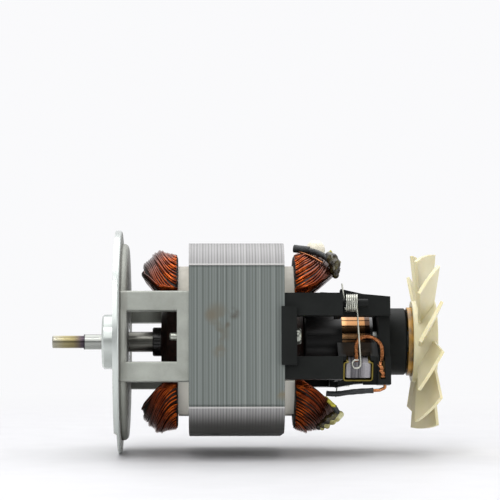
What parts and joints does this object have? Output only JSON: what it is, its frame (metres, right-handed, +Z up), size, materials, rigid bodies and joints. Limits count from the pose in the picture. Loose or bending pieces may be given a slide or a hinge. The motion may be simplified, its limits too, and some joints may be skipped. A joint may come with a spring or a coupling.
{
  "type": "universal motor",
  "caption": "Open-frame universal motor with a round die-cast flange, laminated stator, wound armature, sprung carbon brushes and an axial cooling fan.",
  "frame": {"origin": "centre of the flange's mounting face, on the shaft's axis", "axes": "+X along the shaft towards the fan, +Z up, towards the upper field coil"},
  "size_m": [0.1518, 0.088, 0.088],
  "materials": {
    "cast_aluminium": "die-cast, matt",
    "lamination_steel": "varnished steel laminations",
    "liner_plastic": "off-white",
    "enamelled_wire": "enamelled copper wire, varnished",
    "plated_steel": "zinc plated",
    "bracket_plastic": "black, satin",
    "bearing_steel": "ground",
    "cage_brass": "plain",
    "shaft_steel": "ground, heat-tinted at the step",
    "wedge_fibre": "fibre",
    "black_moulding": "black, glossy",
    "commutator_copper": "turned copper",
    "fan_plastic": "ivory, slightly translucent",
    "tube_brass": "drawn",
    "carbon": "carbon graphite",
    "spring_wire": "drawn wire",
    "bare_copper": "braided copper",
    "lead_sleeve": "woven black sleeve",
    "cutoff_resin": "cream resin"
  },
  "bodies": {
    "housing": {"flange_bracket": "cast_aluminium", "stator_laminations": "lamination_steel", "slot_liners": "liner_plastic", "upper_field_coil": "enamelled_wire", "lower_field_coil": "enamelled_wire", "stator_bolts": "plated_steel", "rear_bracket": "bracket_plastic", "front_bearing_outer_ring": "bearing_steel", "rear_bearing_outer_ring": "bearing_steel", "near_brush_tube": "tube_brass", "far_brush_tube": "tube_brass", "near_spring_coil": "spring_wire", "far_spring_coil": "spring_wire", "near_terminal": "tube_brass", "far_terminal": "tube_brass", "near_braid": "bare_copper", "far_braid": "bare_copper", "lower_lead_sleeve": "lead_sleeve", "upper_lead_sleeve": "lead_sleeve", "lower_lead_wire": "bare_copper", "upper_lead_wire": "bare_copper", "cutoff_lead_sleeve": "lead_sleeve", "thermal_cutoff": "cutoff_resin"},
    "rotor": {"shaft": "shaft_steel", "armature_core": "lamination_steel", "armature_windings": "enamelled_wire", "slot_wedges": "wedge_fibre", "shaft_bush": "black_moulding", "lead_wrap": "black_moulding", "commutator_core": "black_moulding", "commutator_bars": "commutator_copper", "fan": "fan_plastic", "front_bearing_inner_ring": "bearing_steel", "rear_bearing_inner_ring": "bearing_steel"},
    "front_balls": {"front_bearing_balls": "bearing_steel", "front_bearing_cage": "cage_brass"},
    "rear_balls": {"rear_bearing_balls": "bearing_steel", "rear_bearing_cage": "cage_brass"},
    "near_brush": {"near_brush": "carbon"},
    "far_brush": {"far_brush": "carbon"},
    "near_spring": {"near_spring_arm": "spring_wire"},
    "far_spring": {"far_spring_arm": "spring_wire"}
  },
  "joints": [
    {"name": "rotor_spin", "type": "hinge", "parent": "housing", "child": "rotor", "pos_m": [0, 0, 0], "axis": [1, 0, 0], "continuous": true},
    {"name": "front_balls_spin", "type": "hinge", "parent": "housing", "child": "front_balls", "pos_m": [0.0022, 0, 0], "axis": [1, 0, 0], "continuous": true},
    {"name": "rear_balls_spin", "type": "hinge", "parent": "housing", "child": "rear_balls", "pos_m": [0.1096, 0, 0], "axis": [1, 0, 0], "continuous": true},
    {"name": "near_brush_slide", "type": "slide", "parent": "housing", "child": "near_brush", "axis": [0, -0.866, -0.5], "range_m": [0, 0.008], "deforming": ["near_braid"]},
    {"name": "far_brush_slide", "type": "slide", "parent": "housing", "child": "far_brush", "axis": [0, 0.866, 0.5], "range_m": [0, 0.008], "deforming": ["far_braid"]},
    {"name": "near_spring_swing", "type": "hinge", "parent": "housing", "child": "near_spring", "pos_m": [0.0938, -0.0276, 0.0132], "axis": [-1, 0, 0], "range_deg": [0, 23.5], "stiffness_Nm_per_rad": 0.06, "springref_deg": -34.38},
    {"name": "far_spring_swing", "type": "hinge", "parent": "housing", "child": "far_spring", "pos_m": [0.0938, 0.0276, -0.0132], "axis": [-1, 0, 0], "range_deg": [0, 23.5], "stiffness_Nm_per_rad": 0.06, "springref_deg": -34.38}
  ],
  "couplings": [
    {"joint": "front_balls_spin", "follows": "rotor_spin", "ratio": 0.3815},
    {"joint": "rear_balls_spin", "follows": "rotor_spin", "ratio": 0.3433},
    {"joint": "near_spring_swing", "follows": "near_brush_slide", "rad_per_m": 50},
    {"joint": "far_spring_swing", "follows": "far_brush_slide", "rad_per_m": 50}
  ]
}
